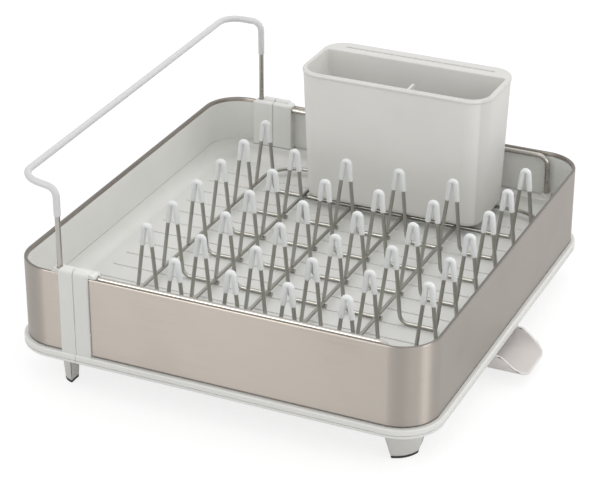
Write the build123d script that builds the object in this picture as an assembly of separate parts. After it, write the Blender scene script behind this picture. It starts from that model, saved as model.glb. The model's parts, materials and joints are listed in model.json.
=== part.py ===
from build123d import *
from math import radians, tan
import os

# Expandable dish drainer, closed, in millimetres.
# +Z is up, the left end slides out towards -X, and the front is at -Y.
# The model is laid out about the middle of the steel walls and moved by origin_shift when it is written.

# Walls, seen from above
body_length = 300.0
body_depth = 320.0
corner_radius = 27.0
rim_height = 88.0
rim_width = 2.4
rim_skirt = 3.2
rim_round = 1.0
sheet = 0.7
extension_length = 49.5
seam_gap = 0.3

# Plastic trim and the base under the walls
trim_reach = 3.0
trim_round = 1.0
frame_trim_height = 3.8
base_rim_height = 2.2
groove_height = 0.5
groove_depth = 0.6
base_floor = 2.5
foot_height = 20.5
pad_height = 2.0

# Posts at the seam
post_width = 11.0
post_inner_width = 15.5
post_proud = 1.4
post_cap = 4.2
post_plate_cap = 2.4
post_bar_depth = 6.4
post_depth_inside = 6.9
post_outer_round = 3.6
post_inner_round = 1.8
post_end_round = 2.6
socket_width = 17.0

# Sliding tray
tray_clearance = 0.4
tray_side_gap = 1.2
tray_floor_top = 43.0
tray_floor = 2.6
tray_ledge_top = 53.5
tray_ledge = 9.2
tray_lip = 0.4
tray_cove = 9.0
tray_end_inset = 0.1
tray_step_gap = 0.5
tray_rib_height = 0.7
tray_rib_width = 2.4
tray_rib_margin = 42.4
tray_rib_count = 13
tray_rib_end = 10.0
tray_end_gap = 22.5
runner_width = 3.0
runner_inset = 13.0
runner_lift = 0.3
boss_radius = 3.6
boss_height = 3.0

# Shelf under the right side of the rack
shelf_gap = 3.0
shelf_thickness = 2.5

# Side rails
rail_wire = 3.8
rail_inset = 5.8
rail_drop = 2.0
rail_bend_radius = 8.0
rail_end_inset = 4.0
rail_grip = 5.0
rail_leg_depth = 7.0
rail_fit = 0.05
slide_clearance = 0.3

# Raised rail
hoop_wire = 3.7
hoop_sleeve = 4.8
hoop_front_inset = 11.2
hoop_back_inset = 8.0
hoop_leg_offset = 12.0
hoop_leg_inset = 3.9
hoop_height = 154.0
hoop_front_drop = 1.8
hoop_shoulder_drop = 6.2
hoop_bend_radius = 7.0
hoop_corner_radius = 13.0
hoop_socket_depth = 24.0
hoop_socket_gap = 0.3
hoop_sleeve_drop = 25.8
sleeve_fit = 0.05

# Wire rack
rack_wire = 2.7
tine_columns = 6
tine_rows = 7
rack_left_gap = 12.05
rack_right_gap = 17.45
rack_side_gap = 27.0
tine_top = 102.0
tine_left_foot = 8.6
tine_right_foot = 6.9
tine_tip_half = 2.0
tine_tip_radius = 2.1
tine_bend_radius = 6.0
run_overlap = 2.2
sharp_bend_radius = 2.6
foot_lift = 0.3
weld_gap = 0.02
rack_gap = 0.3
rack_corner_radius = 25.0
cap_outer = 4.0
cap_length = 17.0
cap_fit = 0.05

# Cutlery cup
cup_top = 152.3
cup_left_gap = 51.0
cup_right_gap = 51.5
cup_depth = 68.5
cup_back_gap = 10.5
cup_taper = 4.0
cup_corner_radius = 17.0
cup_wall = 3.2
cup_floor = 2.6
cup_gap = 0.3
cup_rim_height = 2.4
cup_rim_proud = 0.5
cup_rim_round = 1.0
cup_foot_round = 5.0
cup_bay_round = 2.0
cup_deck_depth = 18.0
cup_deck_thickness = 3.0
knife_slot_margin = 15.0
knife_slot_width = 1.5
cup_drain_width = 3.0
cup_drain_gap = 10.0
cup_drain_margin = 15.0
cup_drain_count = 4
divider_offset = 61.5
divider_thickness = 2.2
divider_drop = 1.2
divider_scoop = 26.0
divider_high_length = 13.0
divider_gap = 0.2

# Spout
spout_pivot_inset = 28.0
spout_y = -11.5
spout_half_width = 23.4
spout_depth = 14.0
spout_reach = 21.5
spout_wall = 2.2
spout_gap = 0.5
spout_foot_round = 9.0
spout_tip_round = 12.0
spout_lip_height = 2.5
spout_curl = 8.0
neck_radius = 12.0
neck_wall = 2.5
neck_clearance = 0.3
retainer_reach = 4.0
retainer_height = 1.6

# Feet: quarter rounds whose two flat sides face inwards, at the ground
main_foot_end_gap = 26.0
main_foot_side_gap = 23.0
main_foot_size = 14.0
main_foot_angle = 12.0
extension_foot_end_gap = 39.8
extension_foot_side_gap = 16.4
extension_foot_size = 9.4
extension_foot_angle = 4.0
foot_edge_round = 1.0

# One overrun serves all cuts, one small height tells edges apart
overrun = 5.0
tiny_height = 0.008

# Heights that follow from the sizes above
base_bottom = pad_height + foot_height
base_rim_top = base_bottom + base_rim_height
frame_bottom = base_rim_top + groove_height
wall_bottom = frame_bottom + frame_trim_height
base_floor_top = base_bottom + base_floor
skirt_bottom = rim_height - rim_skirt

# Places that follow
half_length = body_length / 2
half_depth = body_depth / 2
seam_x = extension_length - half_length
inner_y = half_depth - rim_width
post_face_y = inner_y - post_depth_inside
tray_half_depth = inner_y - tray_side_gap
tray_reach = half_length - rim_width - tray_end_inset
tray_radius = corner_radius - rim_width - tray_end_inset
tray_step_x = seam_x - socket_width - tray_step_gap
tray_end_x = half_length - tray_end_gap
tray_rib_pitch = 2 * (tray_half_depth - tray_rib_margin) / (tray_rib_count - 1)
rail_end_x = tray_end_x - rail_end_inset
rail_y = half_depth - rail_inset
rail_z = rim_height - rail_drop
hoop_front_x = half_length - hoop_front_inset
hoop_back_x = half_length - hoop_back_inset
hoop_leg_x = hoop_leg_offset - seam_x
hoop_leg_y = half_depth - hoop_leg_inset
rib_top = tray_floor_top + tray_rib_height
run_z = rib_top + rack_gap + rack_wire / 2
cross_z = run_z + rack_wire + weld_gap
cup_bottom = cross_z + rack_wire / 2 + cup_gap
cup_left = seam_x + cup_left_gap
cup_right = half_length - cup_right_gap
cup_back = half_depth - cup_back_gap
cup_front = cup_back - cup_depth
knife_slot_length = cup_right - cup_left - 2 * knife_slot_margin
cup_drain_pitch = (cup_right - cup_left - 2 * cup_drain_margin + cup_drain_gap) / cup_drain_count
cup_drain_length = cup_drain_pitch - cup_drain_gap
divider_x = cup_right - divider_offset
spout_pivot_x = half_length - spout_pivot_inset
body_right = half_length + trim_reach
spout_tip_x = body_right + spout_reach
origin_shift = -spout_reach / 2
main_foot_x = half_length - main_foot_end_gap
main_foot_y = half_depth - main_foot_side_gap
extension_foot_x = half_length - extension_foot_end_gap
extension_foot_y = half_depth - extension_foot_side_gap
foot_sizes = {
    "right": (main_foot_x, main_foot_y, main_foot_size, main_foot_angle),
    "left": (-extension_foot_x, extension_foot_y, extension_foot_size, extension_foot_angle),
}

os.makedirs("parts", exist_ok=True)


def block(x0, x1, y0, y1, z0, z1):
    """A box between two corners."""
    return Pos((x0 + x1) / 2, (y0 + y1) / 2, (z0 + z1) / 2) * Box(x1 - x0, y1 - y0, z1 - z0)


def plan(inset):
    """The outline of the closed body seen from above, moved inwards by inset."""
    return RectangleRounded(body_length - 2 * inset, body_depth - 2 * inset, corner_radius - inset)


def slab(inset, low, high):
    """The body's outline as a solid between two heights."""
    return extrude(Pos(0, 0, low) * plan(inset), high - low)


def ring(outer_inset, inner_inset, low, high):
    """A wall that follows the body's outline."""
    return slab(outer_inset, low, high) - slab(inner_inset, low - overrun, high + overrun)


def left_of(x):
    """Everything left of a plane across the body."""
    return block(-body_length, x, -body_depth, body_depth, -overrun, 2 * hoop_height)


def right_of(x):
    """Everything right of a plane across the body."""
    return block(x, body_length, -body_depth, body_depth, -overrun, 2 * hoop_height)


def rounded_ring(outer_inset, inner_inset, low, high, radius):
    """A wall whose two top edges are rounded."""
    wall = ring(outer_inset, inner_inset, low, high)
    return fillet(wall.edges().filter_by(lambda e: abs(e.center().Z - high) < tiny_height), radius)


def steel_band():
    """Folded sheet: outer face, rolled rim and a short skirt inside."""
    skin = rounded_ring(0, rim_width, wall_bottom, rim_height, rim_round)
    core = rounded_ring(sheet, rim_width - sheet, wall_bottom - overrun, rim_height - sheet, rim_round - sheet)
    below_skirt = ring(rim_width - sheet, rim_width + overrun, wall_bottom - overrun, skirt_bottom)
    return skin - core - below_skirt


def wall_lining():
    """The moulded wall behind the sheet, with the trim that carries it."""
    wall = ring(sheet, rim_width, frame_bottom, skirt_bottom)
    head = rounded_ring(sheet, rim_width - sheet, skirt_bottom, rim_height - sheet, rim_round - sheet)
    trim = ring(-trim_reach, rim_width, frame_bottom, wall_bottom)
    edge = trim.edges().filter_by(lambda e: abs(e.center().Z - wall_bottom) < tiny_height)
    outer = edge.filter_by(lambda e: is_outside(e))
    trim = fillet(outer, trim_round)
    return wall + head + trim


def is_outside(edge):
    """True for an edge on the outside of the trim."""
    middle = edge @ 0.5
    return abs(middle.X) > half_length or abs(middle.Y) > half_depth or on_outer_corner(middle)


def on_outer_corner(point):
    """True where a point lies on the trim's outer corner arcs."""
    dx = abs(point.X) - (half_length - corner_radius)
    dy = abs(point.Y) - (half_depth - corner_radius)
    return dx > 0 and dy > 0 and (dx**2 + dy**2) ** 0.5 > corner_radius


def base_plate(side):
    """Shallow bottom moulding with a groove under the trim."""
    rim = slab(-trim_reach, base_bottom, base_rim_top)
    lower = rim.edges().filter_by(lambda e: abs(e.center().Z - base_bottom) < tiny_height)
    rim = fillet(lower, trim_round)
    neck = slab(groove_depth - trim_reach, base_rim_top, frame_bottom)
    hollow = slab(rim_width, base_floor_top, frame_bottom + overrun)
    return (rim + neck - hollow) & side


def slice_along_x(profile, x0, x1):
    """A profile in the YZ plane, drawn out along X."""
    return Pos(x0, 0, 0) * extrude(Plane.YZ * profile, x1 - x0)


def rectangle(u0, u1, v0, v1):
    """A flat rectangle between two corners."""
    return Pos((u0 + u1) / 2, (v0 + v1) / 2) * Rectangle(u1 - u0, v1 - v0)


def top_corner(sketch, outer):
    """One upper corner of a profile: the one farther from or nearer to the middle."""
    return sketch.vertices().sort_by(Axis.Y)[-2:].sort_by(Axis.X)[-1 if outer else 0]


def rounded_end(x0, x1, top, on_right):
    """Everything between two places along X up to a height, rounded at its upper right or left end."""
    face = rectangle(x0, x1, 0, top)
    return extrude(Plane.XZ * fillet(top_corner(face, on_right), post_end_round), body_depth, both=True)


def back_post(heading, width, inner_width):
    """The clip over the end of a back wall: a raised bar outside and a wider, lower plate inside.

    heading is +1 to the right of the seam and -1 to its left.
    """
    face = half_depth + post_proud
    foot = tray_ledge_top + tray_clearance
    bar_top = rim_height + post_cap
    plate_top = rim_height + post_plate_cap
    bar = rectangle(face - post_bar_depth, face, foot, bar_top)
    bar = fillet(top_corner(bar, True), post_outer_round)
    bar = fillet(top_corner(bar, False), post_inner_round)
    skin = rectangle(half_depth - sheet, face, frame_bottom, foot + overrun)
    plate = rectangle(post_face_y, half_depth - sheet, foot, plate_top)
    plate = fillet(top_corner(plate, False), post_inner_round)
    body = None
    for profile, reach, top in ((bar, width, bar_top), (skin, width, bar_top), (plate, inner_width, plate_top)):
        ends = sorted((seam_x + heading * seam_gap / 2, seam_x + heading * reach))
        piece = slice_along_x(profile, *ends) & rounded_end(*ends, top, heading > 0)
        body = piece if body is None else body + piece
    return body


def both_sides(back_piece):
    """A back piece with its mirror image at the front."""
    return back_piece + mirror(back_piece, Plane.XZ)


def rail_hole(clearance, x0, x1):
    """The bore of a side rail at the back."""
    radius = rail_wire / 2 + clearance
    bore = Cylinder(radius, x1 - x0, rotation=(0, 90, 0))
    return Pos((x0 + x1) / 2, rail_y, rail_z) * bore


def socket_hole():
    """The blind hole at the back for a leg of the raised rail."""
    top = rim_height + post_cap
    bore = Cylinder(hoop_wire / 2 + hoop_socket_gap, hoop_socket_depth + overrun)
    return Pos(-hoop_leg_x, hoop_leg_y, top - hoop_socket_depth + (hoop_socket_depth + overrun) / 2) * bore


def frame_moulding(heading, inner_width, side):
    """Lining, trim and two posts of one end."""
    posts = both_sides(back_post(heading, post_width, inner_width))
    return (wall_lining() & side) + posts


def rack_shelf():
    """The ledge across the right end that carries the right side of the rack."""
    top = cross_z - rack_wire / 2 - rack_gap
    return slab(sheet, top - shelf_thickness, top) & right_of(tray_end_x + shelf_gap)


def make_main_frame():
    side = right_of(seam_x + seam_gap / 2)
    holes = both_sides(rail_hole(slide_clearance, seam_x - overrun, seam_x + post_inner_width + overrun))
    return frame_moulding(1, post_inner_width, side) + rack_shelf() - holes


def make_extension_frame():
    side = left_of(seam_x - seam_gap / 2)
    holes = both_sides(rail_hole(rail_fit, seam_x - rail_grip, seam_x + overrun) + socket_hole())
    return frame_moulding(-1, socket_width, side) - holes


def make_band(heading, inner_width):
    """The steel of one end, cut back round the posts."""
    cut = seam_x + heading * post_width
    band = steel_band() & (right_of(cut) if heading > 0 else left_of(cut))
    ends = sorted((seam_x, seam_x + heading * inner_width))
    inside = half_depth - sheet
    return band - block(ends[0], ends[1], -inside, inside, 0, rim_height + overrun)


def make_main_base():
    plate = base_plate(right_of(seam_x + seam_gap / 2))
    return plate - Pos(spout_pivot_x, spout_y, base_bottom) * Cylinder(neck_radius, 2 * overrun)


def make_extension_base():
    return base_plate(left_of(seam_x - seam_gap / 2))


def tray_outline():
    """Outer outline of the sliding tray: narrow between the walls, wide inside the left end."""
    narrow = RectangleRounded(2 * tray_reach, 2 * tray_half_depth, tray_radius)
    wide = RectangleRounded(2 * tray_reach, 2 * (inner_y - weld_gap), tray_radius)
    outline = narrow + (wide & rectangle(-body_length, tray_step_x, -body_depth, body_depth))
    return outline & rectangle(-body_length, tray_end_x, -body_depth, body_depth)


def tub(half_x, half_y, radius):
    """A rounded hollow with a cove all round its floor."""
    outline = RectangleRounded(2 * half_x, 2 * half_y, radius)
    hollow = extrude(Pos(0, 0, tray_floor_top) * outline, tray_ledge_top)
    floor_edges = hollow.edges().filter_by(lambda e: abs(e.center().Z - tray_floor_top) < tiny_height)
    return fillet(floor_edges, tray_cove)


def tray_pocket():
    """The wet area of the sliding tray: narrow between the walls, wide inside the left end."""
    narrow = tub(tray_reach - tray_ledge, tray_half_depth - tray_ledge, tray_radius - tray_ledge)
    wide = tub(tray_reach - tray_lip, inner_y - tray_lip, tray_radius - tray_lip)
    return narrow + (wide & left_of(tray_step_x - tray_ledge))


def tray_ribs():
    """Low ribs along the floor that carry the rack and let water run under it."""
    start = tray_cove + tray_rib_end - tray_reach
    ribs = None
    for number in range(tray_rib_count):
        y = (number - (tray_rib_count - 1) / 2) * tray_rib_pitch
        half = tray_rib_width / 2
        rib = block(start, tray_end_x, y - half, y + half, tray_floor_top - tray_floor / 2, rib_top)
        ribs = rib if ribs is None else ribs + rib
    return ribs


def tray_boss():
    """The raised boss on the back ledge that holds the lower end of a side rail."""
    height = boss_height + tray_ledge_top - tray_floor_top
    boss = Pos(rail_end_x, rail_y, tray_ledge_top + boss_height - height / 2) * Cylinder(boss_radius, height)
    return boss


def make_sliding_tray():
    """The long inner tray, open at its right end, with its ledge, ribs, bosses and two runners under it."""
    low = tray_floor_top - tray_floor
    pan = extrude(Pos(0, 0, low) * tray_outline(), tray_ledge_top - low) - tray_pocket()
    column = extrude(Pos(0, 0, low) * tray_outline(), tray_ledge_top + boss_height - low)
    bosses = both_sides(tray_boss()) & column
    holes = both_sides(
        Pos(rail_end_x, rail_y, tray_ledge_top + boss_height - rail_leg_depth / 2 + overrun / 2)
        * Cylinder(rail_wire / 2 + rail_fit, rail_leg_depth + overrun)
    )
    outer = tray_half_depth - runner_inset
    reach = half_length - corner_radius
    runner_bottom = base_floor_top + runner_lift
    runner = block(-reach, reach, outer - runner_width, outer, runner_bottom, low + tray_floor / 2)
    return pan + bosses + tray_ribs() + both_sides(runner) - holes


def wire(points, radii, diameter):
    """A round wire along straight runs joined by arcs."""
    path = FilletPolyline(*points, radius=radii) if radii else Polyline(*points)
    start = Plane(origin=path @ 0, z_dir=path % 0)
    return sweep(start * Circle(diameter / 2), path=path)


def sleeve(points, radii, outer, inner):
    """A tube that a wire runs through."""
    return wire(points, radii, outer) - wire(points, radii, inner)


def make_side_rail(side):
    """The steel rod along one long wall; its right end turns down into the sliding tray."""
    start = (seam_x - rail_grip + rail_fit, side * rail_y, rail_z)
    turn = (rail_end_x, side * rail_y, rail_z)
    end = (rail_end_x, side * rail_y, tray_ledge_top + boss_height - rail_leg_depth + rail_fit)
    return wire([start, turn, end], [rail_bend_radius], rail_wire)


def hoop_points(low):
    """The raised rail's route from its front leg to its back leg. It is bent a little lower at the front."""
    return [
        (-hoop_leg_x, -hoop_leg_y, low),
        (-hoop_leg_x, -hoop_leg_y, hoop_height - hoop_shoulder_drop),
        (-hoop_front_x, -hoop_leg_y, hoop_height - hoop_front_drop),
        (-hoop_back_x, hoop_leg_y, hoop_height),
        (-hoop_leg_x, hoop_leg_y, hoop_height),
        (-hoop_leg_x, hoop_leg_y, low),
    ]


hoop_radii = [hoop_bend_radius, hoop_corner_radius, hoop_corner_radius, hoop_bend_radius]


def make_raised_rail():
    bottom = rim_height + post_cap - hoop_socket_depth + hoop_socket_gap
    return wire(hoop_points(bottom), hoop_radii, hoop_wire)


def make_raised_rail_sleeve():
    points = hoop_points(hoop_height - hoop_sleeve_drop)
    return sleeve(points, hoop_radii, hoop_sleeve, hoop_wire + 2 * sleeve_fit)


rack_left_x = seam_x + rack_left_gap
rack_right_x = half_length - rack_right_gap
rack_half_depth = half_depth - rack_side_gap
first_column_x = rack_left_x + tine_left_foot
column_pitch = (rack_right_x - tine_right_foot - first_column_x) / (tine_columns - 1)
row_pitch = 2 * rack_half_depth / tine_rows


def column_x(column):
    """Middle of a tine, counted from the left, starting at 1."""
    return first_column_x + (column - 1) * column_pitch


def row_y(row):
    """Place of a row, counted from the front, starting at 1. The rack ends one pitch behind its last row."""
    return (row - 1) * row_pitch - rack_half_depth


tine_peak = tine_top - cap_outer / 2
weld_top = cross_z + rack_wire / 2 + foot_lift


def tine_crest(column, y):
    """The two upper corners of a tine."""
    x = column_x(column)
    return [(x - tine_tip_half, y, tine_peak), (x + tine_tip_half, y, tine_peak)]


def plain_tine(column, y):
    """A tine whose two legs stand on the wire round the rack."""
    x = column_x(column)
    points = [(x - tine_left_foot, y, weld_top), *tine_crest(column, y), (x + tine_right_foot, y, weld_top)]
    return wire(points, [tine_tip_radius, tine_tip_radius], rack_wire)


def single_tine(column, y):
    """A tine whose left leg stands on a cross wire and whose right leg runs on to the next column."""
    x = column_x(column)
    next_foot = column_x(column + 1) - tine_left_foot + run_overlap
    points = [(x - tine_left_foot, y, weld_top), *tine_crest(column, y)]
    points += [(x + tine_right_foot, y, run_z), (next_foot, y, run_z)]
    return wire(points, [tine_tip_radius, tine_tip_radius, tine_bend_radius], rack_wire)


def double_tine(first, last, y):
    """Two tines bent from one wire that ends on the right side of the rack."""
    x = column_x(first)
    far = column_x(last)
    points = [(x - tine_left_foot, y, weld_top), *tine_crest(first, y), (x + tine_right_foot, y, run_z)]
    points += [(far - tine_left_foot, y, run_z), *tine_crest(last, y), (far + tine_right_foot, y, weld_top)]
    tips = [tine_tip_radius, tine_tip_radius]
    return wire(points, [*tips, tine_bend_radius, sharp_bend_radius, *tips], rack_wire)


def row_columns(row):
    """Which columns have a tine in a row: the corners are left out at the front, the cup's bay at the back."""
    if row == 1:
        return list(range(2, tine_columns))
    if row == tine_rows:
        return [1, tine_columns]
    return list(range(1, tine_columns + 1))


def make_tine_row(row):
    y = row_y(row)
    if row == 1:
        return Compound([plain_tine(column, y) for column in row_columns(row)])
    if row == tine_rows:
        return Compound([double_tine(1, tine_columns, y)])
    singles = [single_tine(column, y) for column in range(1, tine_columns - 1)]
    return Compound([*singles, double_tine(tine_columns - 1, tine_columns, y)])


def tine_cap(column, row):
    """The soft tip over a tine, along its two legs as they spread downwards."""
    x = column_x(column)
    y = row_y(row)
    low = tine_top - cap_length
    left_end = run_z if column == tine_columns else weld_top
    right_end = weld_top if row == 1 or column == tine_columns else run_z
    left = tine_tip_half + (tine_peak - low) * (tine_left_foot - tine_tip_half) / (tine_peak - left_end)
    right = tine_tip_half + (tine_peak - low) * (tine_right_foot - tine_tip_half) / (tine_peak - right_end)
    points = [(x - left, y, low), *tine_crest(column, y), (x + right, y, low)]
    return sleeve(points, [tine_tip_radius, tine_tip_radius], cap_outer, rack_wire + 2 * cap_fit)


def make_tine_caps(row):
    return Compound([tine_cap(column, row) for column in row_columns(row)])


def make_rack_perimeter():
    """The closed wire round the rack."""
    width = rack_right_x - rack_left_x
    middle = (rack_right_x + rack_left_x) / 2
    outline = RectangleRounded(width, 2 * rack_half_depth, rack_corner_radius)
    path = Pos(middle, 0, cross_z) * outline.wires()[0]
    start = Plane(origin=path @ 0, z_dir=path % 0)
    return sweep(start * Circle(rack_wire / 2), path=path)


def make_cross_wire(column):
    """A straight wire from the front to the back of the rack, under the left legs of one column."""
    reach = rack_half_depth - rack_wire / 2 - weld_gap
    rod = Cylinder(rack_wire / 2, 2 * reach, rotation=(90, 0, 0))
    return Pos(column_x(column) - tine_left_foot, 0, cross_z) * rod


def tapered_box(x0, x1, y0, y1, radius, shrink, low, high):
    """A rounded box that narrows downwards by shrink on every side."""
    middle = Pos((x0 + x1) / 2, (y0 + y1) / 2)
    top = Pos(0, 0, high) * middle * RectangleRounded(x1 - x0, y1 - y0, radius)
    small = RectangleRounded(x1 - x0 - 2 * shrink, y1 - y0 - 2 * shrink, radius - shrink)
    bottom = Pos(0, 0, low) * middle * small
    return loft([bottom, top])


def bay_plan(edge, back_gap, height):
    """The cutlery bay's outline at a height: wide rounds at the front, small ones against the deck."""
    outline = rectangle(cup_left + edge, cup_right - edge, cup_front + edge, cup_back - cup_deck_depth - back_gap)
    outline = fillet(outline.vertices().sort_by(Axis.Y)[:2], cup_corner_radius - edge)
    return Pos(0, 0, height) * fillet(outline.vertices().sort_by(Axis.Y)[-2:], cup_bay_round)


def cup_cavity(gap):
    """The cutlery bay, shrunk by a gap for what stands in it."""
    edge = cup_wall + gap
    low = bay_plan(edge + cup_taper, gap + cup_taper, cup_bottom + cup_floor + gap)
    return loft([low, bay_plan(edge, gap, cup_top)])


def knife_cavity():
    """The narrow bay behind the cutlery, closed above by the deck and rounded along the cup's back corners."""
    inside = tapered_box(
        cup_left + cup_wall,
        cup_right - cup_wall,
        cup_front + cup_wall,
        cup_back - cup_wall,
        cup_corner_radius - cup_wall,
        cup_taper,
        cup_bottom + cup_floor,
        cup_top - cup_deck_thickness,
    )
    bay_front = cup_back - cup_deck_depth + cup_wall
    return inside & block(cup_left, cup_right, bay_front, cup_back, cup_bottom, cup_top)


def make_cutlery_cup():
    """The cup with its cutlery bay, a deck with a knife slot behind it and drain slots in the floor."""
    middle_x = (cup_left + cup_right) / 2
    knife_y = cup_back - cup_deck_depth / 2
    sides = (cup_left + cup_rim_proud, cup_right - cup_rim_proud)
    ends = (cup_front + cup_rim_proud, cup_back - cup_rim_proud)
    body = tapered_box(*sides, *ends, cup_corner_radius - cup_rim_proud, cup_taper, cup_bottom, cup_top)
    foot = body.edges().filter_by(lambda e: abs(e.center().Z - cup_bottom) < tiny_height)
    body = fillet(foot, cup_foot_round)
    outline = RectangleRounded(cup_right - cup_left, cup_depth, cup_corner_radius)
    rim = extrude(Pos(middle_x, (cup_front + cup_back) / 2, cup_top) * outline, -cup_rim_height)
    upper = rim.edges().filter_by(lambda e: abs(e.center().Z - cup_top) < tiny_height)
    body += fillet(upper, cup_rim_round)
    slot = Pos(middle_x, knife_y, cup_top) * Box(knife_slot_length, knife_slot_width, 2 * overrun)
    bay_y = (cup_front + cup_back - cup_deck_depth) / 2
    body = body - cup_cavity(0) - knife_cavity() - slot
    for number in range(cup_drain_count):
        x = middle_x + (number - (cup_drain_count - 1) / 2) * cup_drain_pitch
        drain = SlotOverall(cup_drain_length, cup_drain_width)
        body -= extrude(Pos(x, bay_y, cup_bottom - overrun) * drain, 2 * overrun)
    return body


def make_cup_divider():
    """The thin plate across the cutlery bay, high at the front and scooped behind."""
    half = divider_thickness / 2
    y_end = cup_back - cup_deck_depth
    top = cup_top - divider_drop
    plate = cup_cavity(divider_gap) & block(divider_x - half, divider_x + half, cup_front, y_end, 0, top)
    high_end = cup_front + cup_wall + divider_high_length
    scoop_low = cup_top - divider_scoop
    scoop = block(divider_x - overrun, divider_x + overrun, high_end, y_end, scoop_low, cup_top + overrun)
    along = scoop.edges().filter_by(Axis.X).sort_by(Axis.Z)[:2].sort_by(Axis.Y)[0]
    scoop = fillet(along, divider_high_length)
    return plate - scoop


def spout_shell(inset, top):
    """A trough with a bowl round the pivot, shrunk by inset, up to a height."""
    half = spout_half_width - inset
    depth = spout_depth - inset
    radius = spout_foot_round - inset
    section = rectangle(-half, half, -depth, 0)
    section = fillet(section.vertices().sort_by(Axis.Y)[:2], radius)
    bowl = revolve(Plane.XZ * (section & rectangle(0, half, -depth, 0)), Axis.Z)
    trough = slice_along_x(Pos(spout_y, top) * section, spout_pivot_x, spout_tip_x + inset)
    return Pos(spout_pivot_x, spout_y, top) * bowl + trough


def spout_plan():
    """The spout's outline from above, with rounded corners at its tip."""
    plan_box = rectangle(spout_pivot_x, spout_tip_x, spout_y - spout_half_width, spout_y + spout_half_width)
    ends = plan_box.vertices().sort_by(Axis.X)[-2:]
    return fillet(ends, spout_tip_round) + Pos(spout_pivot_x, spout_y) * Circle(spout_half_width)


def spout_slope(top):
    """What is cut away above the spout's sides, which swing down to a low lip at the tip."""
    low = top - spout_depth + spout_lip_height
    start = (body_right, top)
    end = (spout_tip_x, low)
    swing = Bezier(start, (body_right + spout_curl, top), (spout_tip_x - spout_curl, low), end)
    beyond = spout_tip_x + overrun
    above = top + overrun
    rest = Polyline(end, (beyond, low), (beyond, above), (body_right, above), start)
    return extrude(Plane.XZ * make_face([swing, rest]), body_depth, both=True)


def upright(radius, low, high):
    """A cylinder on the spout's axis between two heights."""
    return Pos(spout_pivot_x, spout_y, (low + high) / 2) * Cylinder(radius, high - low)


def make_spout():
    """The swivelling outlet under the base, with the neck that turns in the drain hole."""
    top = base_bottom - spout_gap
    shell = spout_shell(0, top) - spout_shell(spout_wall, top + weld_gap)
    shell = shell & extrude(spout_plan(), top + overrun)
    lid = upright(spout_half_width - weld_gap, top - spout_wall, top)
    neck_top = base_floor_top + neck_clearance + retainer_height
    lid_low = top - spout_wall
    neck = upright(neck_radius - neck_clearance, lid_low, neck_top)
    bore = upright(neck_radius - neck_clearance - neck_wall, lid_low - overrun, neck_top + overrun)
    return shell - spout_slope(top) + lid + neck - bore


def make_spout_retainer():
    """The ring that keeps the neck from dropping out of the drain hole."""
    inner = neck_radius - neck_clearance + weld_gap
    ring_part = Cylinder(inner + retainer_reach, retainer_height) - Cylinder(inner, retainer_height)
    return Pos(spout_pivot_x, spout_y, base_floor_top + neck_clearance + retainer_height / 2) * ring_part


def quarter_round(corner_x, corner_y, size):
    """A quarter disc that points away from the middle of the body, with eased corners."""
    reach = 1 if corner_x > 0 else -1
    disc = Pos(corner_x, corner_y) * Circle(size)
    ends = sorted((corner_x, corner_x + reach * size))
    quarter = disc & rectangle(*ends, corner_y, corner_y + size)
    return fillet(quarter.vertices(), foot_edge_round)


def foot_body(end, low, high):
    """A back foot that widens upwards, between two heights."""
    x, y, size, angle = foot_sizes[end]
    spread = base_bottom * tan(radians(angle))
    inwards = -spread if x > 0 else spread
    top = quarter_round(x + inwards, y - spread, size + 2 * spread)
    whole = extrude(Pos(0, 0, base_bottom) * top, -base_bottom, taper=angle)
    return whole & block(-body_length, body_length, 0, body_depth, low, high)


def make_foot(end, side):
    foot = foot_body(end, pad_height, base_bottom)
    return foot if side > 0 else mirror(foot, Plane.XZ)


def make_foot_pad(end, side):
    pad = foot_body(end, 0, pad_height)
    return pad if side > 0 else mirror(pad, Plane.XZ)


def build_nodes():
    """Every piece by name."""
    nodes = {
        "main_frame": make_main_frame(),
        "main_band": make_band(1, post_inner_width),
        "main_base": make_main_base(),
        "extension_frame": make_extension_frame(),
        "extension_band": make_band(-1, socket_width),
        "extension_base": make_extension_base(),
        "sliding_tray": make_sliding_tray(),
        "side_rail_front": make_side_rail(-1),
        "side_rail_back": make_side_rail(1),
        "raised_rail": make_raised_rail(),
        "raised_rail_sleeve": make_raised_rail_sleeve(),
        "rack_perimeter": make_rack_perimeter(),
        "cutlery_cup": make_cutlery_cup(),
        "cup_divider": make_cup_divider(),
        "spout": make_spout(),
        "spout_retainer": make_spout_retainer(),
    }
    for row in range(1, tine_rows + 1):
        nodes[f"tine_row_{row}"] = make_tine_row(row)
        nodes[f"tine_caps_{row}"] = make_tine_caps(row)
    for column in range(2, tine_columns):
        nodes[f"rack_cross_wire_{column - 1}"] = make_cross_wire(column)
    for end in foot_sizes:
        for name, side in (("front", -1), ("back", 1)):
            nodes[f"foot_{name}_{end}"] = make_foot(end, side)
            nodes[f"foot_pad_{name}_{end}"] = make_foot_pad(end, side)
    return nodes


for node_name, shape in build_nodes().items():
    export_step(Pos(origin_shift, 0, 0) * shape, f"parts/{node_name}.step")
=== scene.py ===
"""Looks of an expandable dish drainer: brushed steel walls, pale plastic, satin wire and soft tips."""
import json
import math

import bmesh
import bpy
from mathutils import Matrix, Vector


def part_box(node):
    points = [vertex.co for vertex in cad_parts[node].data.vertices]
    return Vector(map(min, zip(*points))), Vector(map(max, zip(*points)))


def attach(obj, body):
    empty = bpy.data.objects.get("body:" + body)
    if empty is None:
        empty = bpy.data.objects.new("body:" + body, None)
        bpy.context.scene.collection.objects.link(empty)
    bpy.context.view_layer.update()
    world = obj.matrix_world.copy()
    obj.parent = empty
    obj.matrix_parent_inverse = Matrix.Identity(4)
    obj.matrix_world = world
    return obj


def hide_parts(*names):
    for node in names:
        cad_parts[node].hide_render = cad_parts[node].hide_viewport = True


MM = 0.001

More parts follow.
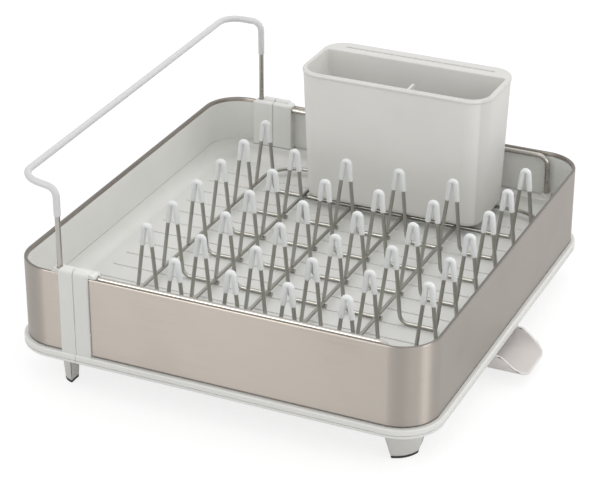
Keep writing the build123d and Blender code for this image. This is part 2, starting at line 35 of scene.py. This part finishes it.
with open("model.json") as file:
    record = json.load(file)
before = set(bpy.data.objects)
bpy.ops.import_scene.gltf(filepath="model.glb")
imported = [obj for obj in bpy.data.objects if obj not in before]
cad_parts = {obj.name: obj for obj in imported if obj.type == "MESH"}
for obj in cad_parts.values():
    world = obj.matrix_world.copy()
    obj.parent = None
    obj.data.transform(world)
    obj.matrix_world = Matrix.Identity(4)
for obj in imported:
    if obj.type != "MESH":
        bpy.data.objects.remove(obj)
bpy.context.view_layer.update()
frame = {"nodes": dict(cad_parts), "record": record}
nodes = frame["nodes"]
record = frame["record"]
wall_low, wall_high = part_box("main_band")
rack_low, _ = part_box("rack_perimeter")

# Patterns of the materials, in waves per metre, and how deep they are

# The steel's grain has few waves along the wall and many up it.
STEEL_GRAIN = (30.0, 30.0, 2600.0)
STEEL_GRAIN_DEPTH = 0.02 * MM
STEEL_PATCHES = 14.0
WIRE_SHINE = 90.0
WIRE_SHINE_DEPTH = 0.005 * MM
WIRE_PATCHES = 30.0
PLASTIC_TEXTURE = 1800.0
PLASTIC_TEXTURE_DEPTH = 0.02 * MM
PLASTIC_CLOUDS = 22.0
TIP_WAVES = 120.0
TIP_WAVE_DEPTH = 0.01 * MM
TIP_LIGHT_DEPTH = 2.0 * MM
RUBBER_PORES = 2500.0
RUBBER_PORE_DEPTH = 0.05 * MM

# Shades of the steel: painted shade and more polish in its fold, where the rim reflects darker surroundings,
# and a painted shadow along its cut lower edge

PAINTED_FOLD_SHADE = 0.5
FOLD_POLISH = 0.4
FOLD_DEPTH = 1.2 * MM
PAINTED_EDGE_SHADOW = 0.36
EDGE_DEPTH = 1.4 * MM

# Painted light and shade of the plastic, and its edges

# How far a face looks away from the middle when it looks inwards and gets painted light, and when it is one
# of the outermost and gets painted shade.
INWARDS = -15.0 * MM
OUTERMOST = (120.0 * MM, 130.0 * MM)
# The sides of the tray's ribs, which get painted light, start this far below the rack. A face that looks up
# more than this is no side.
RIB_DEPTH = 1.6 * MM
RIB_SLOPE = 0.5
# Edges are softer above the rack's feet than below them.
EDGE_ROUND = 0.4 * MM
INNER_ROUND = 1.2 * MM
ROUND_SAMPLES = 8

# Rounds along the edges of small CAD pieces

EDGE_ANGLE = math.radians(35)
WELD_DISTANCE = 0.001 * MM
EDGE_ROUNDS = {
    "spout_plastic": 0.5 * MM,
    "foot_plastic": 0.4 * MM,
    "tip_rubber": 0.3 * MM,
    "sleeve_plastic": 0.35 * MM,
    "pad_rubber": 0.3 * MM,
}

# Folded steel walls

CORNER_RADIUS = 27.0 * MM
RIM_WIDTH = 2.4 * MM
RIM_SKIRT = 3.2 * MM
RIM_ROUND = 1.2 * MM
SHEET = 0.7 * MM
SHEET_ROUND = SHEET / 2
CLIP_GAP = 0.25 * MM
TRIM_GAP = 0.4 * MM
CORNER_STEPS = 24
ROUND_STEPS = 8
SKIRT_STEPS = 6
INSIDE_STEPS = 4
CURL_STEPS = 4

# Floor, light and camera

WHITE = (1.0, 1.0, 1.0)
FLOOR_SIZE = 8.0
FLOOR_COLOUR = (0.86, 0.86, 0.86)
FLOOR_SHADE = (0.28, 0.28, 0.28)
FLOOR_LIFT = 0.76
WORLD_LEVEL = 0.96
AIM = (0.0, 0.0, 0.05)
WARMEST = (1.0, 0.93, 0.84)
WARMER = (1.0, 0.97, 0.93)
WARM = (1.0, 0.97, 0.94)
MILD = (1.0, 0.98, 0.96)

# The camera was fitted to the straight edges of the walls in the photograph.
CAMERA_AT = (0.536745, -1.226542, 0.742784)
CAMERA_TURN = 0.42573
CAMERA_TILT = 0.46911
CAMERA_ROLL = 0.00094
FOCAL_PIXELS = 2123.225
IMAGE_WIDTH = 600
SENSOR_MM = 36.0

# Nodes of the materials


def add(tree, kind, inputs=None, **settings):
    """A new node with its settings, its constant inputs and its links."""
    node = tree.nodes.new(kind)
    for name, value in settings.items():
        setattr(node, name, value)
    for name, value in (inputs or {}).items():
        socket = node.inputs[name]
        if isinstance(value, bpy.types.NodeSocket):
            tree.links.new(value, socket)
        else:
            socket.default_value = value
    return node


def new_material(name, viewport):
    """An empty material, its tree and a colour for the viewport."""
    material = bpy.data.materials.new(name)
    material.use_nodes = True
    material.node_tree.nodes.clear()
    material.diffuse_color = (*viewport, 1.0)
    return material, material.node_tree


def finish_shader(tree, inputs):
    """The principled shader at the end of a material."""
    shader = add(tree, "ShaderNodeBsdfPrincipled", inputs)
    add(tree, "ShaderNodeOutputMaterial", {"Surface": shader.outputs["BSDF"]})


def place(tree, scale=(1.0, 1.0, 1.0)):
    """Coordinates in metres in the object's own frame, stretched by scale."""
    coordinates = add(tree, "ShaderNodeTexCoord")
    mapping = add(tree, "ShaderNodeMapping", {"Vector": coordinates.outputs["Object"], "Scale": scale})
    return mapping.outputs["Vector"]


def noise(tree, vector, scale=1.0, detail=2.0, rough=0.5):
    """Even noise between 0 and 1."""
    inputs = {"Vector": vector, "Scale": scale, "Detail": detail, "Roughness": rough}
    return add(tree, "ShaderNodeTexNoise", inputs).outputs["Fac"]


def between(tree, factor, low, high, start=0.25, end=0.75):
    """A number that goes from low to high as factor goes from start to end."""
    inputs = {"Value": factor, "From Min": start, "From Max": end, "To Min": low, "To Max": high}
    return add(tree, "ShaderNodeMapRange", inputs).outputs["Result"]


def around(tree, factor, level, less, more):
    """A number that goes from less below a level to more above it as factor rises."""
    return between(tree, factor, level - less, level + more)


def tint(tree, factor, colour, dark, light, start=0.3, end=0.7):
    """A colour that goes from a dark shade of itself to a light one as factor goes from start to end."""
    ramp = add(tree, "ShaderNodeValToRGB", {"Fac": factor})
    first, last = ramp.color_ramp.elements
    first.position = start
    first.color = (*shade(colour, dark), 1.0)
    last.position = end
    last.color = (*shade(colour, light), 1.0)
    return ramp.outputs["Color"]


def shade(colour, factor):
    """A colour made darker or lighter."""
    return tuple(min(1.0, part * factor) for part in colour)


def bump(tree, height, distance, strength, normal=None):
    """A bump whose height is distance in metres at full strength."""
    inputs = {"Height": height, "Distance": distance, "Strength": strength}
    if normal:
        inputs["Normal"] = normal
    return add(tree, "ShaderNodeBump", inputs).outputs["Normal"]


def calculate(tree, operation, first, second):
    """The result of an operation on two numbers."""
    return add(tree, "ShaderNodeMath", {0: first, 1: second}, operation=operation).outputs[0]


def upward(tree, vector):
    """The upward part of a vector."""
    return add(tree, "ShaderNodeSeparateXYZ", {"Vector": vector}).outputs["Z"]


def scaled_colour(tree, colour, factor):
    """A linked colour made darker or lighter by a number."""
    grey = add(tree, "ShaderNodeCombineColor", {"Red": factor, "Green": factor, "Blue": factor}).outputs[0]
    inputs = {6: colour, 7: grey, "Factor": 1.0}
    return add(tree, "ShaderNodeMix", inputs, data_type="RGBA", blend_type="MULTIPLY").outputs[2]


def facing_out(tree):
    """How far a face looks away from the middle of the piece, level, in metres."""
    coordinates = add(tree, "ShaderNodeTexCoord").outputs
    flattened = {0: coordinates["Object"], 1: (1.0, 1.0, 0.0)}
    level = add(tree, "ShaderNodeVectorMath", flattened, operation="MULTIPLY").outputs["Vector"]
    inputs = {0: level, 1: coordinates["Normal"]}
    return add(tree, "ShaderNodeVectorMath", inputs, operation="DOT_PRODUCT").outputs["Value"]


# Materials


def brushed_steel(name, colour, roughness):
    """Sheet steel with a fine level grain, with painted shade in its fold along the top and a painted shadow
    at its cut lower edge.
    """
    material, tree = new_material(name, colour)
    grain = noise(tree, place(tree, STEEL_GRAIN), detail=3.0, rough=0.6)
    patches = noise(tree, place(tree), STEEL_PATCHES)
    both = calculate(tree, "ADD", grain, patches)
    colours = tint(tree, both, colour, 0.94, 1.05, start=0.7, end=1.3)
    height = upward(tree, place(tree))
    # Painted shade: the fold along the top is darkened to stand in for the darker surroundings it reflects.
    fold_shade_painted = between(tree, height, 1.0, PAINTED_FOLD_SHADE, wall_high.z - FOLD_DEPTH, wall_high.z)
    polish = between(tree, height, 1.0, FOLD_POLISH, wall_high.z - FOLD_DEPTH, wall_high.z)
    cut = wall_low.z + TRIM_GAP
    # Painted shadow: the lowest band of the sheet, just above the gap to the trim, is darkened like a
    # contact shadow.
    edge_shadow_painted = between(tree, height, PAINTED_EDGE_SHADOW, 1.0, cut + EDGE_DEPTH / 2, cut + EDGE_DEPTH)
    finish_shader(tree, {
        "Base Color": scaled_colour(tree, colours, calculate(tree, "MULTIPLY", fold_shade_painted, edge_shadow_painted)),
        "Metallic": 1.0,
        "Roughness": calculate(tree, "MULTIPLY", around(tree, grain, roughness, 0.05, 0.06), polish),
        "Anisotropic": 0.85,
        "Anisotropic Rotation": 0.25,
        "Tangent": add(tree, "ShaderNodeTangent", direction_type="RADIAL", axis="Z").outputs[0],
        "Normal": bump(tree, grain, STEEL_GRAIN_DEPTH, strength=0.6),
    })
    return material


def steel_wire(name, colour, roughness):
    """Drawn wire, satin, with soft patches of shine and a trace of unevenness."""
    material, tree = new_material(name, colour)
    shine = noise(tree, place(tree), WIRE_SHINE)
    patches = noise(tree, place(tree), WIRE_PATCHES)
    finish_shader(tree, {
        "Base Color": tint(tree, patches, colour, 0.97, 1.03),
        "Metallic": 1.0,
        "Roughness": around(tree, shine, roughness, 0.03, 0.03),
        "Normal": bump(tree, shine, WIRE_SHINE_DEPTH, strength=0.2),
    })
    return material


def moulded_plastic(name, colour, roughness, painted_light_inwards=1.0, painted_shade_outermost=1.0, painted_light_below_steel=1.0, painted_light_on_ribs=1.0):
    """Moulded plastic with a fine satin texture, a faint cloudiness and rounded edges.

    The last four factors are painted light and shade: they make it lighter or darker on faces that look
    inwards, on the outermost faces, below the steel and on the low sides of the tray's ribs.
    """
    material, tree = new_material(name, colour)
    fine = noise(tree, place(tree), PLASTIC_TEXTURE)
    clouds = noise(tree, place(tree), PLASTIC_CLOUDS, detail=3.0)
    out = facing_out(tree)
    # Painted light and shade, multiplied into the colour: on faces that look inwards, on the outermost
    # faces, below the steel and on the low sides of the tray's ribs.
    inside = between(tree, out, painted_light_inwards, 1.0, INWARDS, 0.0)
    outside = between(tree, out, 1.0, painted_shade_outermost, *OUTERMOST)
    side = calculate(tree, "MULTIPLY", inside, outside)
    height = upward(tree, place(tree))
    low = between(tree, height, painted_light_below_steel, 1.0, wall_low.z - EDGE_ROUND, wall_low.z + EDGE_ROUND)
    upright = upward(tree, add(tree, "ShaderNodeTexCoord").outputs["Normal"])
    rib_side = between(tree, upright, painted_light_on_ribs, 1.0, 0.0, RIB_SLOPE)
    below_rack = between(tree, height, rib_side, 1.0, rack_low.z - EDGE_ROUND / 2, rack_low.z)
    rib_foot = rack_low.z - RIB_DEPTH
    at_ribs = between(tree, height, 1.0, below_rack, rib_foot, rib_foot + EDGE_ROUND)
    rib = between(tree, out, at_ribs, 1.0, *OUTERMOST)
    painted_light_and_shade = calculate(tree, "MULTIPLY", side, calculate(tree, "MULTIPLY", low, rib))
    soft_from = rack_low.z + INNER_ROUND
    radius = between(tree, height, EDGE_ROUND, INNER_ROUND, soft_from, soft_from + INNER_ROUND)
    rounded = add(tree, "ShaderNodeBevel", {"Radius": radius}, samples=ROUND_SAMPLES).outputs["Normal"]
    finish_shader(tree, {
        "Base Color": scaled_colour(tree, tint(tree, clouds, colour, 0.975, 1.02), painted_light_and_shade),
        "Roughness": around(tree, fine, roughness, 0.05, 0.07),
        "Specular IOR Level": 0.4,
        "Normal": bump(tree, fine, PLASTIC_TEXTURE_DEPTH, strength=0.8, normal=rounded),
    })
    return material


def soft_tip(name, colour, roughness):
    """Dipped soft coating with a slight unevenness."""
    material, tree = new_material(name, colour)
    waves = noise(tree, place(tree), TIP_WAVES)
    finish_shader(tree, {
        "Base Color": tint(tree, waves, colour, 0.985, 1.015),
        "Roughness": around(tree, waves, roughness, 0.05, 0.05),
        "Subsurface Weight": 0.12,
        "Subsurface Radius": (TIP_LIGHT_DEPTH, TIP_LIGHT_DEPTH, TIP_LIGHT_DEPTH),
        "Normal": bump(tree, waves, TIP_WAVE_DEPTH, strength=0.3),
    })
    return material


def rubber(name, colour):
    """Black matte rubber with fine pores."""
    material, tree = new_material(name, colour)
    pores = noise(tree, place(tree), RUBBER_PORES)
    finish_shader(tree, {
        "Base Color": tint(tree, pores, colour, 0.8, 1.4),
        "Roughness": between(tree, pores, 0.6, 0.8),
        "Normal": bump(tree, pores, RUBBER_PORE_DEPTH, strength=0.6),
    })
    return material


# Painted light and shade of the body plastic: lighter inwards, darker on the outermost faces, lighter below
# the steel and on the ribs' sides.
BODY_PAINTED_LIGHT = {"painted_light_inwards": 1.05, "painted_shade_outermost": 0.89, "painted_light_below_steel": 1.07, "painted_light_on_ribs": 1.32}
MATERIALS = {
    "steel": brushed_steel("steel", (0.366, 0.337, 0.308), 0.48),
    "rod": steel_wire("rod", (0.44, 0.42, 0.39), 0.28),
    "wire": steel_wire("wire", (0.40, 0.395, 0.365), 0.3),
    "body_plastic": moulded_plastic("body_plastic", (0.72, 0.72, 0.695), 0.45, **BODY_PAINTED_LIGHT),
    # The cup's inward faces get painted light.
    "cup_plastic": moulded_plastic("cup_plastic", (0.645, 0.64, 0.615), 0.5, painted_light_inwards=1.19),
    "spout_plastic": moulded_plastic("spout_plastic", (0.70, 0.67, 0.65), 0.42),
    "foot_plastic": moulded_plastic("foot_plastic", (0.55, 0.545, 0.52), 0.42),
    "tip_rubber": soft_tip("tip_rubber", (0.76, 0.775, 0.775), 0.4),
    "sleeve_plastic": soft_tip("sleeve_plastic", (0.62, 0.625, 0.625), 0.42),
    "pad_rubber": rubber("pad_rubber", (0.015, 0.015, 0.015)),
}

# CAD pieces


def soften(piece, width):
    """Small rounds along the edges of a CAD piece."""
    weld = piece.modifiers.new("weld", "WELD")
    weld.merge_threshold = WELD_DISTANCE
    bevel = piece.modifiers.new("rounds", "BEVEL")
    bevel.width = width
    bevel.segments = 2
    bevel.limit_method = "ANGLE"
    bevel.angle_limit = EDGE_ANGLE
    bevel.use_clamp_overlap = False
    even_normals(piece)


def even_normals(piece):
    """Normals that keep flat faces flat up to their rounds."""
    normals = piece.modifiers.new("normals", "WEIGHTED_NORMAL")
    normals.keep_sharp = True


for subpart in record["subparts"]:
    piece = nodes[subpart["node"]]
    slot = subpart["material_slot"]
    piece.data.materials.clear()
    piece.data.materials.append(MATERIALS[slot])
    if slot in EDGE_ROUNDS:
        soften(piece, EDGE_ROUNDS[slot])

# Steel walls


def arc(middle, radius, start, end, steps):
    """Points along an arc, angles in degrees."""
    angles = [math.radians(start + (end - start) * k / steps) for k in range(steps + 1)]
    return [(middle[0] + radius * math.cos(a), middle[1] + radius * math.sin(a)) for a in angles]


def sheet_profile(bottom, top):
    """Section of the folded sheet: how far outwards, and height."""
    low = bottom + SHEET_ROUND
    skirt = top - RIM_SKIRT + SHEET_ROUND
    shoulder = top - RIM_ROUND
    inside_round = RIM_ROUND - SHEET
    points = arc((-SHEET_ROUND, low), SHEET_ROUND, -180, 0, ROUND_STEPS)
    points += arc((-RIM_ROUND, shoulder), RIM_ROUND, 0, 90, ROUND_STEPS)
    points += arc((RIM_ROUND - RIM_WIDTH, shoulder), RIM_ROUND, 90, 180, ROUND_STEPS)
    points += arc((SHEET_ROUND - RIM_WIDTH, skirt), SHEET_ROUND, -180, 0, SKIRT_STEPS)
    points += arc((RIM_ROUND - RIM_WIDTH, shoulder), inside_round, 180, 90, INSIDE_STEPS)
    points += arc((-RIM_ROUND, shoulder), inside_round, 90, 0, INSIDE_STEPS)
    return points


def end_curls():
    """How the sheet's cut end curls in: distance from the end, and how far inwards."""
    curls = []
    for k in range(CURL_STEPS + 1):
        along = k / CURL_STEPS
        curls.append((SHEET_ROUND * along, SHEET_ROUND * (1 - math.sqrt(1 - (1 - along) ** 2))))
    return curls


def wall_stations(x_end, x_far, half_depth):
    """Stations round one end from the front clip to the back one: place, direction outwards, inward curl."""
    side = 1 if x_far > x_end else -1
    middle_x = x_far - side * CORNER_RADIUS
    middle_y = half_depth - CORNER_RADIUS
    curls = end_curls()
    stations = [((x_end + side * along, -half_depth), (0, -1), inwards) for along, inwards in curls]
    for start, sign in ((-90, -1), (0, 1)):
        for k in range(CORNER_STEPS + 1):
            angle = math.radians(start + 90 * k / CORNER_STEPS)
            out = (side * math.cos(angle), math.sin(angle))
            at = (middle_x + out[0] * CORNER_RADIUS, sign * middle_y + out[1] * CORNER_RADIUS)
            stations.append((at, out, 0))
    for along, inwards in reversed(curls):
        stations.append(((x_end + side * along, half_depth), (0, 1), inwards))
    return stations


def bridged(rings):
    """Faces between neighbouring rings of points."""
    count = len(rings[0])
    faces = []
    for r in range(len(rings) - 1):
        for k in range(count):
            after = (k + 1) % count
            here, there = r * count, (r + 1) * count
            faces.append((here + k, here + after, there + after, there + k))
    return faces


def mesh_piece(name, points, faces, slot, body, replaced):
    """A smooth mesh piece that moves with a body and stands for CAD nodes."""
    mesh = bpy.data.meshes.new(name)
    mesh.from_pydata(points, [], faces)
    shape = bmesh.new()
    shape.from_mesh(mesh)
    bmesh.ops.recalc_face_normals(shape, faces=shape.faces)
    shape.to_mesh(mesh)
    shape.free()
    for face in mesh.polygons:
        face.use_smooth = True
    mesh.materials.append(MATERIALS[slot])
    piece = bpy.data.objects.new(name, mesh)
    bpy.context.scene.collection.objects.link(piece)
    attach(piece, body)
    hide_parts(*replaced)
    return piece


def make_wall(node, body):
    """The folded steel wall of one end."""
    low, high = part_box(node)
    left_end = abs(low.x) > abs(high.x)
    x_end, x_far = (high.x - CLIP_GAP, low.x) if left_end else (low.x + CLIP_GAP, high.x)
    profile = sheet_profile(low.z + TRIM_GAP, high.z)
    rings = []
    for (x, y), (out_x, out_y), inwards in wall_stations(x_end, x_far, high.y):
        rings.append([(x + out_x * (o - inwards), y + out_y * (o - inwards), z) for o, z in profile])
    points = [point for ring in rings for point in ring]
    count = len(profile)
    ends = [tuple(range(count)), tuple(range(len(points) - count, len(points)))]
    piece = mesh_piece(f"{node}_folded", points, bridged(rings) + ends, "steel", body, (node,))
    even_normals(piece)


make_wall("main_band", "main")
make_wall("extension_band", "extension")

# Surroundings


def background_rays(tree):
    """1 for rays that show the background itself: to the camera, or by reflection or through glass."""
    path = add(tree, "ShaderNodeLightPath").outputs
    direct = calculate(tree, "MAXIMUM", path["Is Camera Ray"], path["Is Glossy Ray"])
    return calculate(tree, "MAXIMUM", direct, path["Is Transmission Ray"])


def make_floor():
    """A plain pale floor that reads white where no shadow falls."""
    mesh = bpy.data.meshes.new("floor")
    half = FLOOR_SIZE / 2
    corners = [(-half, -half, 0), (half, -half, 0), (half, half, 0), (-half, half, 0)]
    mesh.from_pydata(corners, [], [(0, 1, 2, 3)])
    floor = bpy.data.objects.new("floor", mesh)
    bpy.context.scene.collection.objects.link(floor)
    material, tree = new_material("floor", FLOOR_COLOUR)
    diffuse = add(tree, "ShaderNodeBsdfDiffuse", {"Color": (*FLOOR_COLOUR, 1.0)})
    dim = add(tree, "ShaderNodeBsdfDiffuse", {"Color": (*FLOOR_SHADE, 1.0)})
    glow = add(tree, "ShaderNodeEmission", {"Color": (*WHITE, 1.0), "Strength": FLOOR_LIFT})
    seen = add(tree, "ShaderNodeAddShader", {0: dim.outputs[0], 1: glow.outputs[0]})
    parts = {0: background_rays(tree), 1: diffuse.outputs[0], 2: seen.outputs[0]}
    both = add(tree, "ShaderNodeMixShader", parts)
    add(tree, "ShaderNodeOutputMaterial", {"Surface": both.outputs[0]})
    mesh.materials.append(material)


def make_world():
    """An even pale surrounding, white where it is seen."""
    world = bpy.data.worlds.new("studio")
    bpy.context.scene.world = world
    world.use_nodes = True
    tree = world.node_tree
    tree.nodes.clear()
    strength = between(tree, background_rays(tree), WORLD_LEVEL, 1.0, start=0.0, end=1.0)
    shell = add(tree, "ShaderNodeBackground", {"Color": (*WHITE, 1.0), "Strength": strength})
    add(tree, "ShaderNodeOutputWorld", {"Surface": shell.outputs[0]})


def area_light(name, at, size, watts, colour, card=False):
    """A soft lamp, width by height, that looks at the object. A card only shows in what shines."""
    lamp = bpy.data.lights.new(name, "AREA")
    lamp.shape = "RECTANGLE"
    lamp.size, lamp.size_y = size
    lamp.energy = watts
    lamp.color = colour
    holder = bpy.data.objects.new(name, lamp)
    holder.location = at
    holder.rotation_euler = (Vector(AIM) - Vector(at)).to_track_quat("-Z", "Y").to_euler()
    holder.visible_camera = False
    holder.visible_diffuse = not card
    bpy.context.scene.collection.objects.link(holder)


def make_lamps():
    """Cards for the steel's reflections, a fill from the right and a broad lamp above."""
    area_light("left_card", (-0.67, -1.51, 0.34), (0.6, 0.55), 2.2, WARMEST, card=True)
    area_light("right_card", (1.6, -0.3, 0.34), (0.55, 0.55), 5.0, WARM, card=True)
    area_light("side_card", (1.2, -1.05, 0.34), (0.8, 0.55), 1.9, WARM, card=True)
    area_light("high_card", (-0.72, -1.35, 1.35), (0.7, 1.7), 15.0, WARMER, card=True)
    area_light("right_fill", (1.5, -0.1, 0.7), (0.6, 0.6), 2.6, MILD)
    area_light("top", (0.25, 0.6, 1.8), (1.8, 1.8), 6.0, WHITE)


def make_camera():
    """The photograph's camera."""
    data = bpy.data.cameras.new("camera")
    data.sensor_width = SENSOR_MM
    data.lens = FOCAL_PIXELS / IMAGE_WIDTH * SENSOR_MM
    camera = bpy.data.objects.new("camera", data)
    camera.location = CAMERA_AT
    turn = Matrix.Rotation(CAMERA_TURN, 4, "Z") @ Matrix.Rotation(math.pi / 2 - CAMERA_TILT, 4, "X")
    camera.rotation_euler = (turn @ Matrix.Rotation(CAMERA_ROLL, 4, "Z")).to_euler()
    bpy.context.scene.collection.objects.link(camera)
    bpy.context.scene.camera = camera


make_floor()
make_world()
make_lamps()
make_camera()
bpy.context.scene.view_settings.view_transform = "Standard"
